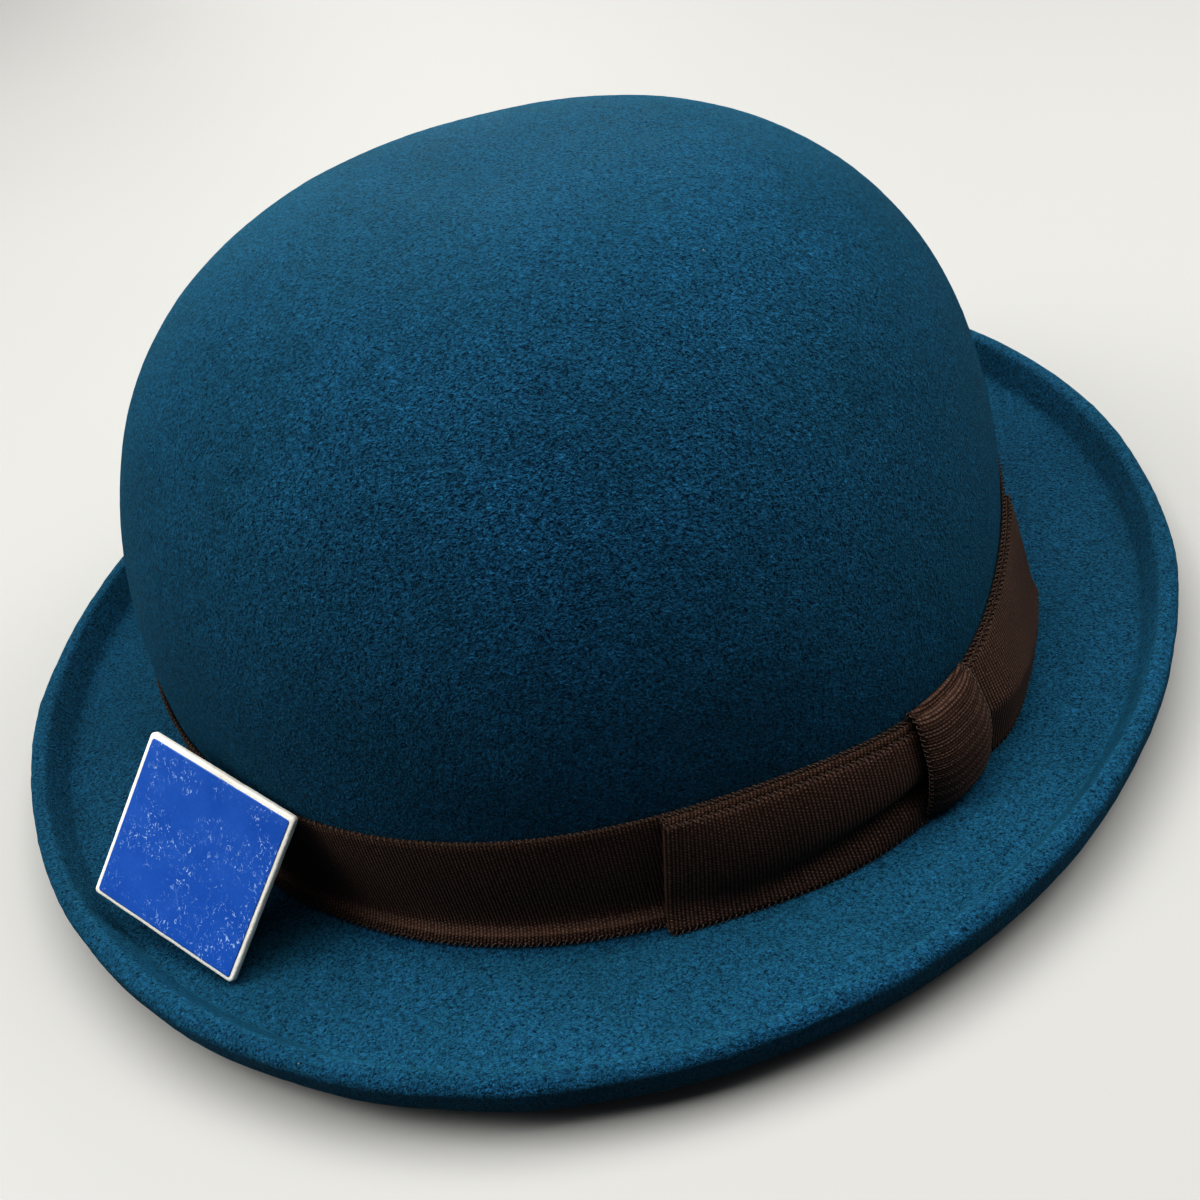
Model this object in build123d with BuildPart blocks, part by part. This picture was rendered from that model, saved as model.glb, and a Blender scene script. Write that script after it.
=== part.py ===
from build123d import *
from math import asin, cos, degrees, radians, sin
import os

# Bowler hat, in millimetres. The front faces -Y, the wearer's left is +X, and the hat rests brim
# down on Z = 0 with its origin at the middle of the head opening.
# Every ring of the hat is drawn round and then narrowed across X by oval_ratio, which makes the
# oval of the head. Angles around the hat count from the front towards the wearer's left.

# Felt body
oval_ratio = 0.97
felt = 3.0
wall_radius = 98.7  # outside of the crown where it is widest, along Y
crown_rise = 106.0  # from the brim's upper face to the top of the crown
bulge_rise = 10.6  # height of the widest ring above the brim
across_power = 3.2  # exponents of the crown's superellipse: higher is squarer
up_power = 2.39
wall_foot_radius = 5.5  # hollow curve between the crown and the brim
brim_radius = 135.4  # outermost ring of the turned-up edge, along Y
crease_inset = 6.7  # from the outermost ring in to the crease of the turned-up edge
crease_rise = 4.2  # how far the brim has risen at the crease
lip_rise = 10.8  # top of the turned-up edge above the brim's inner ring
lip_lean = 3.3  # how far the edge's inner face leans out over its height
crease_radius = 1.6
lip_round = 1.45

# Ribbon band and bow
ribbon = 0.6
ribbon_gap = 0.1
ribbon_top = 27.0  # top edge above the brim
ribbon_wrap = 70.0  # degrees of the hollow curve that the lower edge follows
bow_angle = 83.0  # middle of the knot
bow_half_arc = 33.0
loop_thickness = 3.8
waist_thickness = 2.6
knot_half_arc = 4.4
knot_thickness = 2.2
knot_overhang = 1.1  # how far the knot stands past the ribbon's edges

# Inside
sweat_thickness = 1.1
sweat_inset = 3.9  # from the outside of the crown to the sweatband's outer face
sweat_foot = 5.4
sweat_top = 36.0
reed_radius = 0.8
reed_sides = 10  # the reed and the thread are drawn with flat sides
thread_size = 0.5
thread_sides = 8
thread_rise = 8.5
lining = 0.4
lining_inset = 3.25
lining_foot = 22.0
lining_drop = 8.0  # how far the lining hangs under the top of the crown
tip_angle = 52.0  # place on the crown's curve where the side and the tip are sewn together
label_thickness = 0.3
size_label = (14.0, 16.0)
size_label_angle = 152.0
care_label = (22.0, 26.0)
care_label_angle = 184.0

# Swing tag
tag_side = 35.0
tag_thickness = 1.5
tag_print = 0.15
tag_margin = 0.9
tag_foot = (-1.9, -123.8, 11.3)  # middle of the lower edge, on the back face
tag_heading = 21.4  # direction that the face looks in, from the front
tag_lean = 39.9  # how far the face looks up
tag_roll = -21.0  # its right-hand corner stands on the brim

curve_steps = 12
brim_top = felt
wall_inside = wall_radius - felt
foot_centre = (wall_radius + wall_foot_radius, brim_top + wall_foot_radius)
bulge_z = brim_top + bulge_rise
crown_top = brim_top + crown_rise


def crown_point(angle, inset, drop):
    """A point of the crown's curve, from 0 degrees at the widest ring to 90 at the top."""
    across = (wall_radius - inset) * abs(cos(radians(angle))) ** (2 / across_power)
    up = (crown_rise - bulge_rise - drop) * sin(radians(angle)) ** (2 / up_power)
    return (across, bulge_z + up)


def crown_angle(height, drop):
    """The place on the crown's curve that is at this height."""
    share = (height - bulge_z) / (crown_rise - bulge_rise - drop)
    return degrees(asin(share ** (up_power / 2)))


def crown_curve(inset, drop, start=0.0, end=90.0):
    """Points along the crown's curve, inset from the outside and dropped from the top."""
    angles = [start + (end - start) * step / curve_steps for step in range(curve_steps + 1)]
    return [crown_point(angle, inset, drop) for angle in angles]


def radial_plane(angle):
    """The upright plane through the hat's axis at this angle, with X outwards and Y up."""
    out = Vector(sin(radians(angle)), -cos(radians(angle)), 0)
    return Plane(origin=(0, 0, 0), x_dir=out, z_dir=(out.Y, -out.X, 0))


def ribbon_layer(offset, thickness, top):
    """Section of a ribbon layer that lies offset outside the crown and flares over the brim."""
    inner = wall_radius + offset
    outer = inner + thickness
    near = wall_foot_radius - offset
    with BuildSketch(mode=Mode.PRIVATE) as layer:
        with BuildLine():
            Line((inner, top), (inner, foot_centre[1]))
            inside = CenterArc(foot_centre, near, 180, ribbon_wrap)
            outside = CenterArc(foot_centre, near - thickness, 180, ribbon_wrap)
            Line(inside @ 1, outside @ 1)
            Line((outer, foot_centre[1]), (outer, top))
            Line((outer, top), (inner, top))
        make_face()
    return layer.sketch


def lining_band(start, end):
    """Section of the lining between two places on the crown's curve."""
    with BuildSketch(mode=Mode.PRIVATE) as band:
        with BuildLine():
            outside = Spline(crown_curve(lining_inset, lining_drop, start, end))
            inside = Spline(crown_curve(lining_inset + lining, lining_drop + lining, start, end))
            Line(outside @ 0, inside @ 0)
            Line(outside @ 1, inside @ 1)
        make_face()
    return band.sketch


# One-piece felt: crown, brim and turned-up edge
with BuildPart() as felt_body:
    crease = (brim_radius - crease_inset, brim_top + crease_rise)
    lip_inner = (crease[0] + lip_lean, brim_top + lip_rise)
    lip_outer = (brim_radius, brim_top + lip_rise)
    lip_foot = (brim_radius - 0.4, crease[1] - felt + 0.6)
    with BuildSketch(Plane.XZ) as section:
        with BuildLine():
            Spline(crown_curve(0, 0), tangents=[(0, 1), (-1, 0)])
            Polyline(
                (wall_radius, bulge_z),
                (wall_radius, brim_top),
                (wall_radius + wall_foot_radius + 0.5, brim_top),
                crease,
                lip_inner,
                lip_outer,
                lip_foot,
                (wall_radius + wall_foot_radius, 0),
                (wall_inside, 0),
                (wall_inside, bulge_z),
            )
            Spline(crown_curve(felt, felt), tangents=[(0, 1), (-1, 0)])
            Line((0, crown_top - felt), (0, crown_top))
        make_face()
        corners = {
            (wall_radius, brim_top): wall_foot_radius,
            (wall_inside, 0): wall_foot_radius + felt - 0.2,
            crease: crease_radius,
            lip_inner: lip_round,
            lip_outer: lip_round,
            lip_foot: crease_radius + felt,
        }
        for place, radius in corners.items():
            fillet(section.vertices().sort_by_distance((*place, 0))[0], radius)
    revolve(axis=Axis.Z)
    scale(by=(oval_ratio, 1, 1))
felt_body.part.label = "felt_body"

# Grosgrain band round the foot of the crown
with BuildPart() as hatband:
    with BuildSketch(Plane.XZ):
        add(ribbon_layer(ribbon_gap, ribbon, brim_top + ribbon_top))
    revolve(axis=Axis.Z)
    scale(by=(oval_ratio, 1, 1))
hatband.part.label = "hatband"

# Bow: one ribbon folded into two flat loops, pinched to a waist in the middle
bow_offset = ribbon_gap + ribbon + ribbon_gap
bow_top = brim_top + ribbon_top + 0.5
with BuildPart() as bow_ribbon:
    loop_arc = bow_half_arc - knot_half_arc
    with BuildSketch(radial_plane(bow_angle - bow_half_arc)):
        add(ribbon_layer(bow_offset, loop_thickness, bow_top))
    revolve(axis=Axis.Z, revolution_arc=loop_arc)
    with BuildSketch(radial_plane(bow_angle - knot_half_arc)):
        add(ribbon_layer(bow_offset, waist_thickness, bow_top))
    revolve(axis=Axis.Z, revolution_arc=2 * knot_half_arc)
    with BuildSketch(radial_plane(bow_angle + knot_half_arc)):
        add(ribbon_layer(bow_offset, loop_thickness, bow_top))
    revolve(axis=Axis.Z, revolution_arc=loop_arc)
    scale(by=(oval_ratio, 1, 1))
bow_ribbon.part.label = "bow_ribbon"

# Knot: a short ribbon wrapped over the bow's waist and turned in above and below it
with BuildPart() as bow_knot:
    knot_inner = wall_radius + bow_offset + waist_thickness + ribbon_gap
    knot_outer = knot_inner + knot_thickness
    knot_top = bow_top + knot_overhang
    knot_foot = foot_centre[1] - 2.2
    with BuildSketch(radial_plane(bow_angle - knot_half_arc + 0.1)) as knot_section:
        with BuildLine():
            Polyline(
                (wall_radius + bow_offset, bow_top + ribbon_gap),
                (knot_inner, bow_top + ribbon_gap),
                (knot_inner, foot_centre[1]),
                (knot_inner + 1.7, knot_foot),
                (knot_outer + 2.2, knot_foot),
                (knot_outer, foot_centre[1] + 2.5),
                (knot_outer, knot_top),
                (wall_radius + bow_offset, knot_top),
                close=True,
            )
        make_face()
        fillet(knot_section.vertices().sort_by_distance((knot_outer, knot_top, 0))[0], 0.9)
    revolve(axis=Axis.Z, revolution_arc=2 * knot_half_arc - 0.2)
    scale(by=(oval_ratio, 1, 1))
bow_knot.part.label = "bow_knot"

# Sweatband inside the foot of the crown
with BuildPart() as sweatband:
    sweat_end = crown_angle(sweat_top, 0)
    with BuildSketch(Plane.XZ):
        with BuildLine():
            outside = Spline(crown_curve(sweat_inset, sweat_inset, 0, sweat_end))
            inner_inset = sweat_inset + sweat_thickness
            inside = Spline(crown_curve(inner_inset, inner_inset, 0, sweat_end))
            Line(outside @ 1, inside @ 1)
            Polyline(
                outside @ 0,
                ((outside @ 0).X, sweat_foot),
                ((inside @ 0).X, sweat_foot),
                inside @ 0,
            )
        make_face()
    revolve(axis=Axis.Z)
    scale(by=(oval_ratio, 1, 1))
sweatband.part.label = "sweatband"

# Reed: the round cord that stiffens the sweatband's sewn edge
with BuildPart() as sweatband_reed:
    reed_line = wall_radius - sweat_inset - sweat_thickness / 2
    with BuildSketch(Plane.XZ):
        with Locations((reed_line, sweat_foot - reed_radius - ribbon_gap)):
            RegularPolygon(reed_radius, reed_sides)
    revolve(axis=Axis.Z)
    scale(by=(oval_ratio, 1, 1))
sweatband_reed.part.label = "sweatband_reed"

# Line of thread that sews the sweatband in
with BuildPart() as sweatband_thread:
    thread_line = wall_radius - sweat_inset - sweat_thickness - thread_size / 2 - ribbon_gap
    with BuildSketch(Plane.XZ):
        with Locations((thread_line, thread_rise)):
            RegularPolygon(thread_size / 2, thread_sides)
    revolve(axis=Axis.Z)
    scale(by=(oval_ratio, 1, 1))
sweatband_thread.part.label = "sweatband_thread"

# Satin lining: a side band, and a tip under the top of the crown
with BuildPart() as lining_side:
    with BuildSketch(Plane.XZ):
        add(lining_band(crown_angle(lining_foot, lining_drop), tip_angle - 0.2))
    revolve(axis=Axis.Z)
    scale(by=(oval_ratio, 1, 1))
lining_side.part.label = "lining_side"

with BuildPart() as lining_tip:
    with BuildSketch(Plane.XZ):
        add(lining_band(tip_angle + 0.2, 90))
    revolve(axis=Axis.Z)
    scale(by=(oval_ratio, 1, 1))
lining_tip.part.label = "lining_tip"


def label_patch(size, middle, foot):
    """A woven label that lies on the sweatband's inner face, as a curved patch."""
    width, height = size
    face = wall_radius - sweat_inset - sweat_thickness - thread_size - 2 * ribbon_gap
    arc = degrees(width / face)
    with BuildPart() as patch:
        with BuildSketch(radial_plane(middle - arc / 2)):
            with Locations((face - 1.0 - label_thickness / 2, foot + height / 2)):
                Rectangle(label_thickness, height)
        revolve(axis=Axis.Z, revolution_arc=arc)
        scale(by=(oval_ratio, 1, 1))
    return patch


size_tab = label_patch(size_label, size_label_angle, 14.0)
size_tab.part.label = "size_label"
care_tab = label_patch(care_label, care_label_angle, 11.0)
care_tab.part.label = "care_label"

# Swing tag: a square of card that stands on the brim and leans on the band
tag_normal = Vector(
    sin(radians(tag_heading)) * cos(radians(tag_lean)),
    -cos(radians(tag_heading)) * cos(radians(tag_lean)),
    sin(radians(tag_lean)),
)
tag_level = Vector(cos(radians(tag_heading)), sin(radians(tag_heading)), 0)
tag_upward = tag_normal.cross(tag_level)
tag_edge = tag_level * cos(radians(tag_roll)) + tag_upward * sin(radians(tag_roll))
tag_plane = Plane(origin=tag_foot, x_dir=tag_edge, z_dir=tag_normal)
with BuildPart() as tag_board:
    with BuildSketch(tag_plane):
        with Locations((0, tag_side / 2)):
            Rectangle(tag_side, tag_side)
    extrude(amount=tag_thickness)
tag_board.part.label = "tag_board"

with BuildPart() as tag_face:
    with BuildSketch(tag_plane.offset(tag_thickness)):
        with Locations((0, tag_side / 2)):
            Rectangle(tag_side - 2 * tag_margin, tag_side - 2 * tag_margin)
    extrude(amount=tag_print)
tag_face.part.label = "tag_face"

pieces = [
    felt_body,
    hatband,
    bow_ribbon,
    bow_knot,
    sweatband,
    sweatband_reed,
    sweatband_thread,
    lining_side,
    lining_tip,
    size_tab,
    care_tab,
    tag_board,
    tag_face,
]
os.makedirs("parts", exist_ok=True)
for piece in pieces:
    export_step(piece.part, f"parts/{piece.part.label}.step")
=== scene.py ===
from math import cos, pi, radians, sin

import bpy
import numpy as np
from mathutils import Matrix, Vector, noise


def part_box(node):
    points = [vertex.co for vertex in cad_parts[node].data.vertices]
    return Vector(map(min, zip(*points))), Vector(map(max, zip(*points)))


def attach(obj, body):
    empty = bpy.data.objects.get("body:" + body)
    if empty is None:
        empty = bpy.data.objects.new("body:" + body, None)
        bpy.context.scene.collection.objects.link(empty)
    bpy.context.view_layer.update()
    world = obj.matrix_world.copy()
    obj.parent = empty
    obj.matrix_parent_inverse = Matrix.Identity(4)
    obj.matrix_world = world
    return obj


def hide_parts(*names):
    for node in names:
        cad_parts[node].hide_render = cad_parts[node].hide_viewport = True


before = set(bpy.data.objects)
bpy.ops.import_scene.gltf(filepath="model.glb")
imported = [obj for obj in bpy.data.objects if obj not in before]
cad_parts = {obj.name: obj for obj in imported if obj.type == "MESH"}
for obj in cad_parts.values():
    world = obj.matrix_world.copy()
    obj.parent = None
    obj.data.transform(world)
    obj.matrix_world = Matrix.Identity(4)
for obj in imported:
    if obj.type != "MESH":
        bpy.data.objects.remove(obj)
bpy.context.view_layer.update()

# Bowler hat. Shapes are worked out in millimetres, in the CAD frame, and turned into metres when a
# mesh is made. Angles count round the hat from its front (-Y) towards the wearer's left (+X).
MM = 0.001
hat_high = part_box("felt_body")[1] / MM
oval = hat_high.x / hat_high.y
brim_radius = hat_high.y
crown_top = hat_high.z

# Felt body
felt = 3.0
wall_radius = 98.7
bulge_z = 13.6
across_power = 3.2
up_power = 2.39
foot_radius = 5.5
foot_centre = (wall_radius + foot_radius, felt + foot_radius)
crease = (brim_radius - 7.0, felt + 3.8)
lip_top = felt + 10.8
lip_lean = 3.3
felt_columns = 420
section_spacing = 1.25
inner_rows = 40  # rows at the section's end that lie on the inside of the crown
pole_angle = 89.6  # the crown's curve ends just short of its axis

# A small crease pressed into the front of the crown
pinch_height = 89.0
pinch_angle = radians(6.0)
pinch_depth = 0.9
pinch_length = 2.6
pinch_width = 0.9

# Ribbons
ribbon_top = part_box("hatband")[1].z / MM
ribbon_width = 27.8
ribbon_thickness = 0.5
band_off = 0.4
rib_pitch = 0.7
rib_depth = 0.10
rib_steps = 5
bow_middle = radians(83.0)
bow_reach = radians(33.0)
bow_fold = 0.9
knot_width = 17.0
knot_ribs = 68
selvedge_pitch = 1.25
selvedge_swing = 0.38
selvedge_radius = 0.13

# Inside
sweat_inset = 3.9
sweat_thickness = 1.1
sweat_foot = 5.4
sweat_top = 36.0
reed_radius = 0.8
thread_rise = 8.5
stitch_pitch = 3.6
stitch_share = 0.74  # a stitch's length over the pitch
lining = 0.4
lining_inset = 3.25
lining_drop = 8.0
lining_foot = 22.0
tip_angle = 52.0
label_thickness = 0.3

# A correction fitted to the photo, and not a feature that is seen in it. Behind the bow, the foot of
# the crown is moved out and down, so that the bow's edges meet the photo with this camera and CAD.
swell = 5.2
swell_reach = radians(20.0)
swell_fade = (26, 98)  # heights between which it fades out
swell_inner = (84, 97)  # radii between which it fades in, and out again
swell_outer = (107, 126)
sag = 3.0
sag_reach = radians(13.5)
sag_start = (8, 27)  # heights between which it fades in, and out again
sag_fade = (36, 88)

# Swing tag
tag_side = 35.0
tag_thickness = 1.5
tag_margin = 0.9
tag_print = 0.15
tag_foot = np.array((-1.9, -123.8, 11.3))
tag_heading = radians(21.4)
tag_lean = radians(39.9)
tag_roll = radians(-21.0)


# ---------------------------------------------------------------------------------------------
# Mesh helpers


def ring(radius, angle, height):
    """Places on the hat from a ring's radius, the angle round from the front, and the height."""
    across = oval * radius * np.sin(angle)
    along = -radius * np.cos(angle)
    return np.stack(np.broadcast_arrays(across, along, height), axis=-1)


def way_round(radius):
    """Length of the oval that a ring of this radius makes."""
    return 2 * pi * radius * (1 + oval) / 2


def turn_steps(count):
    """Angles of a full turn, without its repeated end."""
    return np.linspace(0, 2 * pi, count, endpoint=False)


def smooth(value, low, high):
    """0 below low, 1 above high and a soft step between them."""
    share = np.clip((value - low) / (high - low), 0, 1)
    return share * share * (3 - 2 * share)


def lumps(points, size, seed=0.0):
    """Smooth noise from -1 to 1 at each point, with lumps about size mm across."""
    spots = points.reshape(-1, 3) / size + seed
    values = [noise.noise(Vector(spot)) for spot in spots]
    return np.array(values).reshape(points.shape[:-1])


def grid_normals(points, wrap):
    """Unit normals of a grid of points, on the side that its faces look to."""
    down = np.gradient(points, axis=0)
    if wrap:
        along = np.roll(points, -1, axis=1) - np.roll(points, 1, axis=1)
    else:
        along = np.gradient(points, axis=1)
    normal = np.cross(down, along)
    return normal / np.maximum(np.linalg.norm(normal, axis=-1, keepdims=True), 1e-9)


def swollen(points):
    """Moves points of the crown's foot out and down behind the bow, as was fitted to the photo."""
    across, along, height = np.asarray(points, float).T
    radius = np.hypot(across / oval, along)
    turn = np.arctan2(across / oval, -along) - bow_middle
    turn = (turn + pi) % (2 * pi) - pi
    low = 1 - smooth(height, *swell_fade)
    in_wall = smooth(radius, *swell_inner) * (1 - smooth(radius, *swell_outer))
    amount = swell * np.exp(-((turn / swell_reach) ** 2)) * low * in_wall
    scale = 1 + amount / np.maximum(radius, 1)
    lower = sag * np.exp(-((turn / sag_reach) ** 2)) * in_wall
    lower = lower * smooth(height, *sag_start) * (1 - smooth(height, *sag_fade))
    return np.stack((across * scale, along * scale, height - lower), axis=-1)


def add_mesh(name, points, faces, uvs=None):
    """A smooth-shaded mesh object from points in mm, with a map in metres for woven patterns."""
    mesh = bpy.data.meshes.new(name)
    mesh.from_pydata((swollen(points) * MM).tolist(), [], faces)
    if uvs is not None:
        layer = mesh.uv_layers.new(name="Weave")
        layer.data.foreach_set("uv", (np.asarray(uvs, np.float32) * MM).ravel())
    mesh.polygons.foreach_set("use_smooth", [True] * len(mesh.polygons))
    piece = bpy.data.objects.new(name, mesh)
    bpy.context.scene.collection.objects.link(piece)
    return piece


def add_grid(name, points, u, v, wrap_rows=False, wrap_columns=True, caps=()):
    """A mesh of quads from rows and columns of points. u is a length per column, v one per row.
    Each cap is (row, step): a flat face that closes that row, with step -1 to look the other way."""
    rows, columns = points.shape[:2]
    row = np.arange(rows if wrap_rows else rows - 1)
    column = np.arange(columns if wrap_columns else columns - 1)
    row, column = np.meshgrid(row, column, indexing="ij")
    corner_rows = np.stack((row, row + 1, row + 1, row), axis=-1).reshape(-1, 4)
    corner_columns = np.stack((column, column, column + 1, column + 1), axis=-1).reshape(-1, 4)
    faces = ((corner_rows % rows) * columns + corner_columns % columns).tolist()
    uvs = np.stack((u[corner_columns], v[corner_rows % rows]), axis=-1).reshape(-1, 2)
    for cap_row, step in caps:
        start = (cap_row % rows) * columns
        faces.append(list(range(start, start + columns))[::step])
        uvs = np.concatenate((uvs, np.zeros((columns, 2))))
    return add_mesh(name, points.reshape(-1, 3), faces, uvs)


def add_sheet(name, middle, thickness, u, v, relief=0.0, back_rows=6):
    """A closed band of cloth or leather round a loop of columns, with its relief on the front."""
    side = grid_normals(middle, True)
    front = middle + side * (thickness / 2 + relief)[..., None]
    chosen = np.unique(np.linspace(0, len(middle) - 1, back_rows).round().astype(int))[::-1]
    back = (middle - side * thickness / 2)[chosen]
    points = np.concatenate((front, back))
    return add_grid(name, points, u, np.concatenate((v, v[chosen])), wrap_rows=True)


def rib_relief(u):
    """Height of grosgrain's ribs along the ribbon: rounded cords with sharp gaps."""
    return rib_depth * np.sqrt(np.abs(np.sin(pi * u / rib_pitch)))


def path_lengths(points, closed):
    """Length along a line of points, with the closing length at the end of a closed one."""
    ends = np.roll(points, -1, axis=0) if closed else points[1:]
    starts = points if closed else points[:-1]
    return np.concatenate(([0], np.cumsum(np.linalg.norm(ends - starts, axis=-1))))


def add_tube(name, line, radius, sides):
    """A closed tube along a loop of points."""
    ahead = np.roll(line, -1, axis=0) - np.roll(line, 1, axis=0)
    ahead /= np.linalg.norm(ahead, axis=-1, keepdims=True)
    first = np.cross(ahead, (0.0, 0.0, 1.0))
    first /= np.linalg.norm(first, axis=-1, keepdims=True)
    second = np.cross(ahead, first)
    around = turn_steps(sides)[:, None, None]
    rings = line + radius * (np.cos(around) * first + np.sin(around) * second)
    u = path_lengths(line, True)
    v = np.arange(sides) * 2 * pi * radius / sides
    return add_grid(name, rings, u, v, wrap_rows=True)


def selvedge(name, edge, outward, normal):
    """The looped edge thread of a ribbon, which winds along the ribbon's edge in small waves."""
    lengths = path_lengths(edge, True)
    total = lengths[-1]
    waves = round(total / selvedge_pitch)
    along = np.linspace(0, total, waves * 8, endpoint=False)
    extend = [np.concatenate((part, part[:1])) for part in (edge, outward, normal)]
    line, out, side = (
        np.stack([np.interp(along, lengths, part[:, axis]) for axis in range(3)], axis=-1)
        for part in extend
    )
    phase = (2 * pi * waves / total * along)[:, None]
    line = line + selvedge_swing * (np.cos(phase) * out + 0.7 * np.sin(phase) * side)
    return add_tube(name, line, selvedge_radius, sides=5)


# ---------------------------------------------------------------------------------------------
# Lines of the hat's section


def crown_curve(angle, inset=0.0, drop=0.0):
    """Radius and height on the crown's curve, from 0 degrees at its widest ring to 90 at the top."""
    angle = np.radians(angle)
    radius = (wall_radius - inset) * np.abs(np.cos(angle)) ** (2 / across_power)
    height = bulge_z + (crown_top - bulge_z - drop) * np.sin(angle) ** (2 / up_power)
    return radius, height


def crown_radius(height, inset=0.0, drop=0.0):
    """Radius of the crown's curve at this height."""
    share = np.clip((height - bulge_z) / (crown_top - bulge_z - drop), 0, 1)
    level = share ** (up_power / 2)
    return (wall_radius - inset) * (1 - level * level) ** (1 / across_power)


def crown_angle(height, drop=0.0):
    """The place on the crown's curve at this height, in degrees."""
    share = (height - bulge_z) / (crown_top - bulge_z - drop)
    return float(np.degrees(np.arcsin(share ** (up_power / 2))))


def rounded(corners, spacing):
    """A line through (radius, height, rounding) corners, with an arc at each rounded one."""
    places = [np.array(corner[:2], float) for corner in corners]
    line = [places[0]]
    for before, here, after, corner in zip(places, places[1:], places[2:], corners[1:]):
        into = (before - here) / np.linalg.norm(before - here)
        out = (after - here) / np.linalg.norm(after - here)
        half = np.arccos(np.clip(into @ out, -1, 1)) / 2
        reach = corner[2] / np.tan(half)
        centre = here + (into + out) / np.linalg.norm(into + out) * corner[2] / np.sin(half)
        start, end = here + into * reach, here + out * reach
        steps = max(3, int((pi - 2 * half) / 0.2))
        line += [arc_point(centre, start, end, step / steps) for step in range(steps + 1)]
    line.append(places[-1])
    return fill_gaps(np.array(line), spacing)


def arc_point(centre, start, end, share):
    """A point of the arc between two points at one distance from a centre."""
    way = (start - centre) * (1 - share) + (end - centre) * share
    return centre + way / np.linalg.norm(way) * np.linalg.norm(start - centre)


def fill_gaps(line, spacing):
    """Adds points where a line's points are further apart than spacing."""
    filled = [line[:1]]
    for start, end in zip(line, line[1:]):
        steps = max(1, int(np.ceil(np.linalg.norm(end - start) / spacing)))
        filled.append(start + (end - start) * np.arange(1, steps + 1)[:, None] / steps)
    return np.concatenate(filled)


# ---------------------------------------------------------------------------------------------
# Felt body


def felt_section():
    """The felt's outline, from the top of the crown out over the brim and back up inside."""
    outside = np.stack(crown_curve(pole_angle - pole_angle * np.linspace(0, 1, 90) ** 1.15), axis=-1)
    lip_inner = crease[0] + lip_lean
    brim = rounded(
        [
            (wall_radius, bulge_z - 0.3, 0),
            (wall_radius, felt, foot_radius),
            (foot_centre[0] + 0.9, felt, 8.0),
            (*crease, 1.4),
            (lip_inner, lip_top, 1.5),
            (brim_radius, lip_top, 1.6),
            (brim_radius - 0.3, crease[1] - felt + 0.6, 4.6),
            (foot_centre[0], 0, 8.0),
            (wall_radius - felt, 0, foot_radius + felt - 0.2),
            (wall_radius - felt, bulge_z - 0.3, 0),
        ],
        section_spacing,
    )
    inside = np.stack(crown_curve(np.linspace(0, pole_angle, 26), felt, felt), axis=-1)
    return np.concatenate((outside, brim, inside))


def felt_unevenness(points, section):
    """How far the hand-shaped felt strays from its form. It is true where the ribbon lies on it."""
    radius, height = section[:, 0], section[:, 1]
    outside = np.arange(len(section)) < len(section) - inner_rows
    free = np.maximum(smooth(height, 31, 44), smooth(radius, 106, 114)) * outside
    lip = smooth(radius, crease[0], brim_radius) * outside
    broad = 0.55 * lumps(points, 46) + 0.16 * lumps(points, 13, 5.0)
    nap = 0.05 * lumps(points, 2.3, 9.0) + 0.05 * lumps(points, 1.3, 2.0)
    wavy_lip = 0.30 * lumps(points, 19, 7.0) + 0.10 * lumps(points, 2.6, 3.0)
    return (broad + nap) * free[:, None] + wavy_lip * lip[:, None]


def pinch_mark(points):
    """How far the small crease at the front of the crown moves each point."""
    place = ring(crown_radius(pinch_height), pinch_angle, pinch_height)
    along = np.array(Vector((0.86, 0.30, 0.42)).normalized())
    away = points - place
    length = away @ along
    width = np.linalg.norm(away - length[..., None] * along, axis=-1)
    return -pinch_depth * np.exp(-((length / pinch_length) ** 2) - (width / pinch_width) ** 2)


def make_felt_body():
    section = felt_section()
    points = ring(section[:, :1], turn_steps(felt_columns), section[:, 1:])
    strayed = felt_unevenness(points, section) + pinch_mark(points)
    points = points + grid_normals(points, True) * strayed[..., None]
    u = np.linspace(0, 2 * pi * wall_radius, felt_columns + 1)
    v = path_lengths(section, False)
    return add_grid("felt_shell", points, u, v, caps=((0, 1), (-1, -1)))


# ---------------------------------------------------------------------------------------------
# Ribbon band and bow


def hugging(down, off):
    """Radius and height of a ribbon that lies on the felt, down from its top edge."""
    straight = ribbon_top - foot_centre[1]
    turn = np.maximum(down - straight, 0) / foot_radius
    height = np.where(down < straight, ribbon_top - down, 0)
    wall = crown_radius(height) + off
    near = foot_radius - off
    radius = np.where(down < straight, wall, foot_centre[0] - near * np.cos(turn))
    height = np.where(down < straight, height, foot_centre[1] - near * np.sin(turn))
    return radius, height


def standing_off(down, off, flared):
    """Radius and height of a ribbon layer that stands off the crown, and may flare at its foot."""
    straight, flare = 20.0, 9.0
    turn = np.maximum(down - straight, 0) / flare
    height = ribbon_top - np.minimum(down, straight) - flare * np.sin(turn)
    radius = crown_radius(height) + off + flared * flare * (1 - np.cos(turn))
    return radius, height


def make_hatband():
    ribs = round(way_round(wall_radius + band_off) / rib_pitch)
    angle = turn_steps(ribs * rib_steps)
    u = np.arange(ribs * rib_steps + 1) * rib_pitch / rib_steps
    v = np.linspace(0, ribbon_width, 15)
    ripple = 0.16 * np.sin(11 * angle + 1.1) + 0.10 * np.sin(23 * angle)
    loose = smooth(v, 17, ribbon_width)[:, None] * (0.12 + 0.5 * np.maximum(ripple, 0))
    radius, height = hugging(v[:, None], band_off + loose)
    middle = ring(radius, angle, height)
    relief = np.broadcast_to(rib_relief(u[:-1]), middle.shape[:2])
    band = add_sheet("hatband_ribbon", middle, ribbon_thickness, u, v, relief)
    return band, add_selvedges("hatband", middle)


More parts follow.
